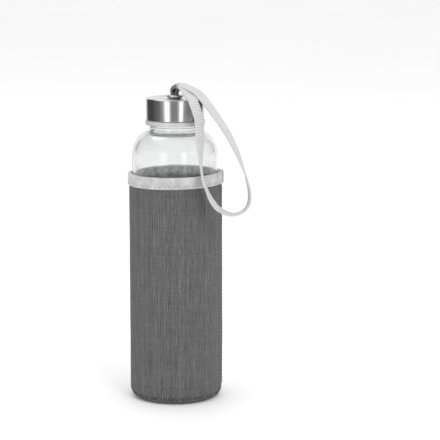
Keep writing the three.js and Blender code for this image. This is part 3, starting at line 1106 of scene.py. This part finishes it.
def make_zigzag(path, reach, out):
    """A zigzag seam over the rim near each end of the tape's lap, so far out from its path."""
    crossings = 22
    first, span = 0.05, 0.93
    swing_size = math.radians(1.5)
    lofts = []
    for side in (-1, 1):
        route = []
        for i in range(crossings * 4 + 1):
            place = (first + span * i / (crossings * 4)) * (len(path) - 1)
            j = min(int(place), len(path) - 2)
            t = place - j
            r = path[j][0] * (1 - t) + path[j + 1][0] * t
            z = path[j][1] * (1 - t) + path[j + 1][1] * t
            dr, dz = path[j + 1][0] - path[j][0], path[j + 1][1] - path[j][1]
            size = math.hypot(dr, dz)
            swing = abs((i / 4) % 2 - 1) * 2 - 1
            angle = SEAM_AZIMUTH + side * reach + swing * swing_size
            outward = polar(dz / size, angle, -dr / size)
            route.append((on_rim(angle, r + out * dz / size, z - out * dr / size), outward))
        lofts.append(thread_tube(route, THREAD_R))
    sewn("binding_zigzag", lofts, THREAD)


def make_binding_join():
    """The tape's folded end lapped over its start, held by a zigzag that goes over the rim."""
    outer, top, inner, _ = binding_outline()
    path = outer + top + inner[:2]
    half = math.radians(7.5)
    steps = 26
    proud = 0.55 * MM
    sections = []
    for i in range(steps + 1):
        share = i / steps
        angle = SEAM_AZIMUTH + half * (2 * share - 1)
        rise = proud * fade(share, 0, 0.12) * fade(1 - share, 0, 0.2)
        ring = []
        for j, (r, z) in enumerate(path):
            before, after = path[max(0, j - 1)], path[min(len(path) - 1, j + 1)]
            dr, dz = after[0] - before[0], after[1] - before[1]
            size = math.hypot(dr, dz)
            out = rise + 0.08 * MM * smooth_noise(share * 5, z * 500, 1.0, 3.0)
            ring.append(on_rim(angle, r + out * dz / size, z - out * dr / size))
        under = [on_rim(angle, r - 0.15 * MM, z) for r, z in path[::-1]]
        sections.append(ring + under)
    points, faces, _ = lofted(sections)
    faces = [face[::-1] for face in faces]
    lap = add_mesh("binding_lap", points, faces, TAPE_PLAIN, "sleeve")
    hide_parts("binding_join")

    make_zigzag(path, half * 0.8, proud + 0.12 * MM)
    return lap


def make_side_seam():
    """A flat seam down the sleeve with a covering stitch across it."""
    low, high = bottom_of("side_seam"), top_of("side_seam")
    half = math.radians(3.3)
    rows = 150
    sections = []
    for row in range(rows + 1):
        z = low + (high - low) * row / rows
        ends = fade(row / rows, 0, 0.01) * fade(1 - row / rows, 0, 0.01)
        ring = []
        for i in range(13):
            share = i / 12
            angle = SEAM_AZIMUTH + half * (2 * share - 1)
            dip = 0.35 * math.exp(-((share - 0.5) / 0.08) ** 2)
            pad = math.sin(math.pi * share) ** 0.4 * (1 - dip)
            wave = 0.05 * MM * smooth_noise(share * 4, 1.0, z * 420)
            r = SLEEVE_R + sleeve_ripple(angle, z) + (0.05 + 0.33 * pad * ends) * MM + wave
            ring.append(polar(r, angle, z))
        under = (SEAM_AZIMUTH + half, SEAM_AZIMUTH, SEAM_AZIMUTH - half)
        sections.append(ring + [polar(SLEEVE_R - 0.3 * MM, a, z) for a in under])
    points, faces, uvs = lofted(sections)
    scale = (high - low) / rows
    uvs = [(u * 0.02, v * scale) for u, v in uvs]
    seam = add_mesh("seam_strip", points, faces, FABRIC, "sleeve", uvs)
    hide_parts("side_seam")

    pitch = 2.6 * MM
    count = int((high - low - 2 * MM) / pitch)
    lofts = []
    for k in range(count):
        z0 = low + 1 * MM + k * pitch
        route = []
        for i in range(9):
            share = i / 8
            angle = SEAM_AZIMUTH + half * 0.86 * (2 * share - 1)
            z = z0 + pitch * 0.5 * share
            arch = math.sin(math.pi * share) ** 0.4
            r = SLEEVE_R + sleeve_ripple(angle, z) + (0.12 + 0.42 * arch) * MM
            route.append((polar(r, angle, z), polar(1, angle)))
        lofts.append(thread_tube(route, 0.15 * MM, 5))
    return seam, sewn("seam_stitches", lofts, GREY_THREAD)


def make_sleeve():
    wall = make_sleeve_wall()
    pieces = [
        make_sleeve_base(), make_sleeve_lining(), make_base_seam(), make_binding(),
        make_stitches(), make_binding_join(), *make_side_seam(),
    ]


make_sleeve()


# ---- Floor, light and world ----


def make_floor():
    nodes = Surface("floor")
    soft = nodes.noise(nodes.object_place(), 3.0, 2.0)
    colour = nodes.ramp(soft, [(0.3, 0.955), (0.7, 0.97)])
    reach = 12.0
    mesh = bpy.data.meshes.new("floor")
    corners = [(-reach, -reach, 0), (reach, -reach, 0), (reach, reach, 0), (-reach, reach, 0)]
    mesh.from_pydata(corners, [], [[0, 1, 2, 3]])
    mesh.materials.append(nodes.finish(colour=colour, roughness=0.6, specular=0.1))
    floor = bpy.data.objects.new("floor", mesh)
    bpy.context.collection.objects.link(floor)
    floor.visible_glossy = False


# What shiny surfaces see: (direction in degrees round from the camera, brightness) pairs.
STUDIO = [
    (-180, 0.92), (-152, 0.9), (-141, 0.08), (-98, 0.06), (-90, 0.11), (-66, 0.16), (-52, 0.36),
    (-45, 0.55), (-38, 1.8), (-27, 1.8), (-17, 0.24), (-2, 0.25), (14, 0.3), (21, 1.9), (29, 1.9),
    (35, 0.14), (54, 0.1), (66, 0.08), (98, 0.06), (136, 0.08), (146, 0.9), (180, 0.92),
]
# Brightness of what is below that band, of the most that is above it, and of what is overhead.
GROUND, UPPER_WALL, CEILING = 0.6, 0.38, 0.75
# A bright patch that the cap's top reflects: its direction and its brightness.
OVERHEAD, PATCH = (-0.449, -0.122, 0.885), 3.0


def make_world():
    """Plain white for all but glossy rays, which see the studio."""
    world = bpy.data.worlds.new("studio")
    world.use_nodes = True
    bpy.context.scene.world = world
    nodes = Nodes(world.node_tree)
    direction = nodes.add("ShaderNodeTexCoord").outputs["Generated"]
    from_camera = nodes.add(
        "ShaderNodeVectorRotate", {"Vector": direction, "Angle": math.radians(45)},
        rotation_type="Z_AXIS",
    ).outputs[0]
    x, y, height = nodes.add("ShaderNodeSeparateXYZ", {0: from_camera}).outputs
    share = nodes.plus(nodes.math("DIVIDE", nodes.math("ARCTAN2", y, x), TAU), 0.5)
    brightest = max(value for _, value in STUDIO)
    stops = [(angle / 360 + 0.5, value / brightest) for angle, value in STUDIO]
    band = nodes.mix(1.0, nodes.ramp(share, stops), brightest, "MULTIPLY")
    dim = nodes.mix(1.0, band, UPPER_WALL, "DARKEN")

    def above(low, high, under, over):
        """Turns from one brightness to another as the ray's direction rises."""
        return nodes.mix(nodes.map_range(height, low, high), under, over)

    low_part = above(-0.62, -0.5, GROUND, band)
    walls = above(0.34, 0.4, low_part, dim)
    room = above(0.62, 0.78, walls, CEILING)
    facing = nodes.add("ShaderNodeVectorMath", {0: direction, 1: OVERHEAD}, operation="DOT_PRODUCT")
    studio = nodes.mix(nodes.map_range(facing.outputs["Value"], 0.955, 0.97), room, PATCH)
    glossy = nodes.add("ShaderNodeLightPath").outputs["Is Glossy Ray"]
    nodes.set(nodes.tree.nodes["Background"].inputs["Color"], nodes.mix(glossy, 1.0, studio))


# Name, direction in degrees round +Z, distance, height and size in metres, and watts.
LAMPS = [
    ("key", -18, 1.6, 1.3, 0.6, 9.0), ("fill", -110, 1.8, 0.9, 1.2, 2.0),
    ("top", 150, 0.8, 1.9, 1.4, 5.0),
]


def make_lights():
    """A key lamp right of the camera, a broad soft fill left of it and another lamp from behind."""
    for name, around, distance, height, size, watts in LAMPS:
        data = bpy.data.lights.new(name, "AREA")
        data.shape = "SQUARE"
        data.size = size
        data.energy = watts
        light = bpy.data.objects.new(name, data)
        bpy.context.collection.objects.link(light)
        light.location = polar(distance, math.radians(around), height)
        aim = Vector((0, 0, 0.1)) - light.location
        light.rotation_euler = aim.to_track_quat("-Z", "Y").to_euler()
        light.visible_glossy = light.visible_camera = light.visible_transmission = False


make_floor()
make_world()
make_lights()
bpy.context.scene.view_settings.view_transform = "Standard"
